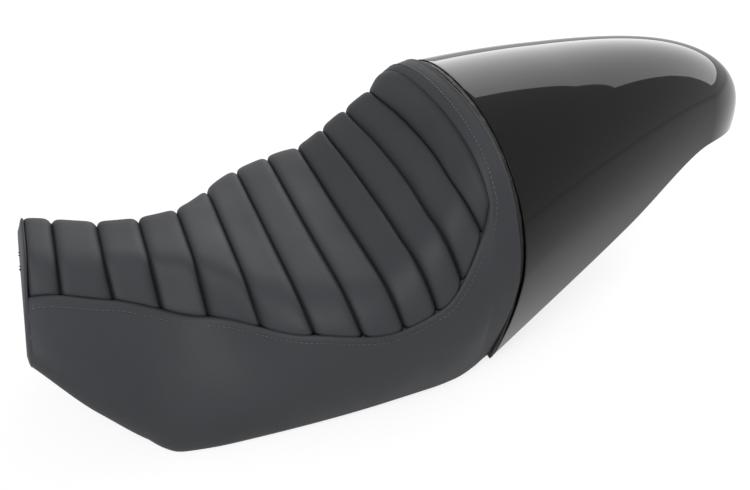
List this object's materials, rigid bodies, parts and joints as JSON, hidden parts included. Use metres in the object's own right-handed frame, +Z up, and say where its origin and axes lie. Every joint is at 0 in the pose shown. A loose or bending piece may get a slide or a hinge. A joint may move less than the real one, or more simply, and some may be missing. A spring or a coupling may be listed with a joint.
{
  "type": "motorcycle solo seat",
  "caption": "Motorcycle solo seat with cross-rolled vinyl top, smooth side skirts, raised bum stop and a gloss moulded tail cowl over a channel base with frame fittings.",
  "frame": {"origin": "middle of the seat's length and width, at the height of the lower skirt edges", "axes": "+X to the tail, +Y to the rider's right, +Z up"},
  "size_m": [0.729, 0.2924, 0.245],
  "materials": {
    "vinyl": "satin",
    "cowl_gloss": "gloss",
    "rubber": "matte",
    "foam": "matte",
    "base_plastic": "matte",
    "black_steel": "satin",
    "zinc_steel": "satin"
  },
  "bodies": {
    "root": {"ribbed_top_panel": "vinyl", "border_cover": "vinyl", "cowl": "cowl_gloss", "cowl_edge_seal": "rubber", "foam_pad": "foam", "seat_pan": "base_plastic", "front_tongue": "black_steel", "tongue_rivets": "zinc_steel", "rear_bracket": "black_steel", "bracket_bolts": "zinc_steel", "tee_nuts": "zinc_steel", "rubber_bumpers": "rubber", "cowl_screws": "zinc_steel", "cowl_clip_nuts": "zinc_steel"}
  },
  "joints": []
}
